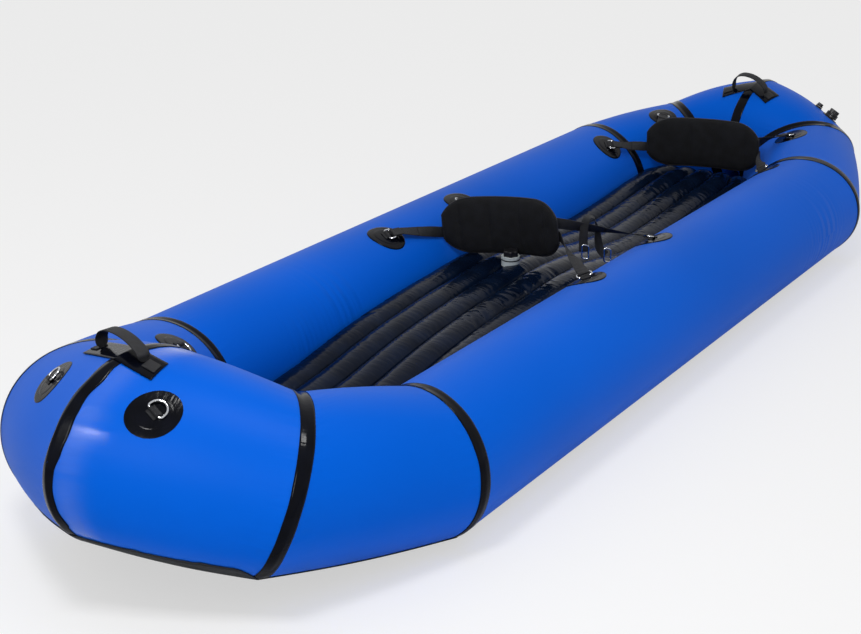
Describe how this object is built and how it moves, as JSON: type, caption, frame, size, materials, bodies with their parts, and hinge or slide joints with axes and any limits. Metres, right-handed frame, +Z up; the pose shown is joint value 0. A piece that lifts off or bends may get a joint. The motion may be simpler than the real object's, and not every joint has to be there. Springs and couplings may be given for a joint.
{
  "type": "packraft",
  "caption": "Inflatable packraft with a pointed panelled tube ring, welded seam tapes, ribbed inflatable floor, strapped backrests, lashing rings, webbing handles and valves",
  "frame": {"origin": "on the ground under the middle of the hull", "axes": "+Z up, the bow points along -Y, +X is the boat's side with the two hull valves"},
  "size_m": [0.92, 3.0021, 0.4879],
  "materials": {
    "hull_blue": "TPU-coated nylon, satin",
    "tape_black": "coated fabric tape, semi-gloss",
    "floor_black": "coated heavy fabric, semi-gloss",
    "foam_cover": "matt woven cover over foam",
    "webbing": "woven polyester webbing",
    "steel": "polished stainless wire",
    "valve_black": "moulded satin plastic",
    "valve_grey": "moulded pale grey plastic"
  },
  "bodies": {
    "hull": {"bow_centre_tape": "tape_black", "bow_corner_left": "hull_blue", "bow_corner_right": "hull_blue", "bow_handle_patch": "tape_black", "bow_inner_patch": "tape_black", "bow_left_patch": "tape_black", "bow_panel_left": "hull_blue", "bow_panel_right": "hull_blue", "bow_right_patch": "tape_black", "bow_seam_tape_left": "tape_black", "bow_seam_tape_right": "tape_black", "floor_mat": "floor_black", "floor_sheet": "floor_black", "front_seat_front_left_patch": "tape_black", "front_seat_front_right_patch": "tape_black", "front_seat_front_strap": "webbing", "front_seat_rear_left_patch": "tape_black", "front_seat_rear_right_patch": "tape_black", "front_seat_rear_strap": "webbing", "hip_tape_left": "tape_black", "hip_tape_right": "tape_black", "main_valve_body": "valve_black", "mat_valve_body": "valve_grey", "oral_valve_body": "valve_black", "quarter_tape_left": "tape_black", "quarter_tape_right": "tape_black", "rear_seat_front_left_patch": "tape_black", "rear_seat_front_right_patch": "tape_black", "rear_seat_front_strap": "webbing", "rear_seat_rear_left_patch": "tape_black", "rear_seat_rear_right_patch": "tape_black", "rear_seat_rear_strap": "webbing", "shoulder_tape_left": "tape_black", "shoulder_tape_right": "tape_black", "side_tube_left": "hull_blue", "side_tube_right": "hull_blue", "stern_centre_tape": "tape_black", "stern_corner_left": "hull_blue", "stern_corner_right": "hull_blue", "stern_handle_patch": "tape_black", "stern_panel_left": "hull_blue", "stern_panel_right": "hull_blue"},
    "bow_right_ring": {"bow_right_ring": "steel"},
    "bow_left_ring": {"bow_left_ring": "steel"},
    "bow_inner_ring": {"bow_inner_ring": "steel"},
    "front_seat_backrest": {"front_seat_backrest": "foam_cover"},
    "front_seat_front_right_ring": {"front_seat_front_right_ring": "steel"},
    "front_seat_front_left_ring": {"front_seat_front_left_ring": "steel"},
    "front_seat_rear_right_ring": {"front_seat_rear_right_ring": "steel"},
    "front_seat_rear_left_ring": {"front_seat_rear_left_ring": "steel"},
    "rear_seat_backrest": {"rear_seat_backrest": "foam_cover"},
    "rear_seat_front_right_ring": {"rear_seat_front_right_ring": "steel"},
    "rear_seat_front_left_ring": {"rear_seat_front_left_ring": "steel"},
    "rear_seat_rear_right_ring": {"rear_seat_rear_right_ring": "steel"},
    "rear_seat_rear_left_ring": {"rear_seat_rear_left_ring": "steel"},
    "bow_handle": {"bow_handle": "webbing"},
    "stern_handle": {"stern_handle": "webbing"},
    "main_valve_cap": {"main_valve_cap": "valve_black"},
    "oral_valve_cap": {"oral_valve_cap": "valve_black"},
    "mat_valve_cap": {"mat_valve_cap": "valve_black"}
  },
  "joints": [
    {"name": "bow_right_ring_hinge", "type": "hinge", "parent": "hull", "child": "bow_right_ring", "pos_m": [0.11334, -1.35791, 0.3876], "axis": [0.8331, -0.0414, -0.5516], "range_deg": [0, 150]},
    {"name": "bow_left_ring_hinge", "type": "hinge", "parent": "hull", "child": "bow_left_ring", "pos_m": [-0.13926, -1.34222, 0.38201], "axis": [0.8186, -0.5334, 0.2131], "range_deg": [0, 150]},
    {"name": "bow_inner_ring_hinge", "type": "hinge", "parent": "hull", "child": "bow_inner_ring", "pos_m": [-0.19009, -0.9574, 0.30043], "axis": [0.286, -0.9283, 0.2375], "range_deg": [0, 150]},
    {"name": "front_seat_backrest_tilt", "type": "hinge", "parent": "hull", "child": "front_seat_backrest", "pos_m": [-0.14666, -0.00974, 0.21776], "axis": [0.9998, 0.0175, 0], "range_deg": [-12, 3], "deforming": ["front_seat_front_strap", "front_seat_rear_strap"]},
    {"name": "front_seat_front_right_ring_hinge", "type": "hinge", "parent": "hull", "child": "front_seat_front_right_ring", "pos_m": [0.25732, -0.1737, 0.28538], "axis": [0.7081, 0.6546, 0.2646], "range_deg": [-10, 30], "deforming": ["front_seat_front_strap"]},
    {"name": "front_seat_front_left_ring_hinge", "type": "hinge", "parent": "hull", "child": "front_seat_front_left_ring", "pos_m": [-0.25732, -0.1737, 0.28538], "axis": [0.8628, -0.3879, -0.3241], "range_deg": [-10, 30], "deforming": ["front_seat_front_strap"]},
    {"name": "front_seat_rear_right_ring_hinge", "type": "hinge", "parent": "hull", "child": "front_seat_rear_right_ring", "pos_m": [0.25636, 0.14199, 0.28371], "axis": [-0.6422, 0.7263, -0.245], "range_deg": [-10, 30], "deforming": ["front_seat_rear_strap"]},
    {"name": "front_seat_rear_left_ring_hinge", "type": "hinge", "parent": "hull", "child": "front_seat_rear_left_ring", "pos_m": [-0.25636, 0.14199, 0.28371], "axis": [-0.8452, -0.4279, 0.3203], "range_deg": [-10, 30], "deforming": ["front_seat_rear_strap"]},
    {"name": "rear_seat_backrest_tilt", "type": "hinge", "parent": "hull", "child": "rear_seat_backrest", "pos_m": [-0.07172, 0.94651, 0.20187], "axis": [0.9816, 0.1908, 0], "range_deg": [-12, 12], "deforming": ["rear_seat_front_strap", "rear_seat_rear_strap"]},
    {"name": "rear_seat_front_right_ring_hinge", "type": "hinge", "parent": "hull", "child": "rear_seat_front_right_ring", "pos_m": [0.22405, 0.83359, 0.26478], "axis": [0.7724, 0.3883, 0.5027], "range_deg": [-10, 30], "deforming": ["rear_seat_front_strap"]},
    {"name": "rear_seat_front_left_ring_hinge", "type": "hinge", "parent": "hull", "child": "rear_seat_front_left_ring", "pos_m": [-0.22405, 0.83359, 0.26478], "axis": [0.6044, -0.6936, -0.3921], "range_deg": [-10, 30], "deforming": ["rear_seat_front_strap"]},
    {"name": "rear_seat_rear_right_ring_hinge", "type": "hinge", "parent": "hull", "child": "rear_seat_rear_right_ring", "pos_m": [0.19084, 1.09913, 0.29252], "axis": [-0.8743, 0.4551, -0.169], "range_deg": [-10, 30], "deforming": ["rear_seat_rear_strap"]},
    {"name": "rear_seat_rear_left_ring_hinge", "type": "hinge", "parent": "hull", "child": "rear_seat_rear_left_ring", "pos_m": [-0.19084, 1.09913, 0.29252], "axis": [-0.9096, -0.3689, 0.1912], "range_deg": [-10, 30], "deforming": ["rear_seat_rear_strap"]},
    {"name": "bow_handle_flop", "type": "hinge", "parent": "hull", "child": "bow_handle", "pos_m": [-0.02541, -1.27806, 0.44084], "axis": [0.9643, -0.2449, 0.1009], "range_deg": [-70, 50]},
    {"name": "stern_handle_flop", "type": "hinge", "parent": "hull", "child": "stern_handle", "pos_m": [0, 1.25227, 0.36755], "axis": [1, 0, 0], "range_deg": [-80, 80]},
    {"name": "main_valve_cap_turn", "type": "hinge", "parent": "hull", "child": "main_valve_cap", "pos_m": [0.21557, 1.33879, 0.29451], "axis": [0.4396, 0.4067, 0.8008], "range_deg": [0, 360]},
    {"name": "oral_valve_cap_turn", "type": "hinge", "parent": "hull", "child": "oral_valve_cap", "pos_m": [0.17113, 1.35391, 0.31171], "axis": [0.4329, 0.379, 0.8179], "range_deg": [0, 120]},
    {"name": "mat_valve_cap_turn", "type": "hinge", "parent": "hull", "child": "mat_valve_cap", "pos_m": [-0.018, -0.0235, 0.22776], "axis": [0, 0, 1], "range_deg": [0, 360]}
  ]
}
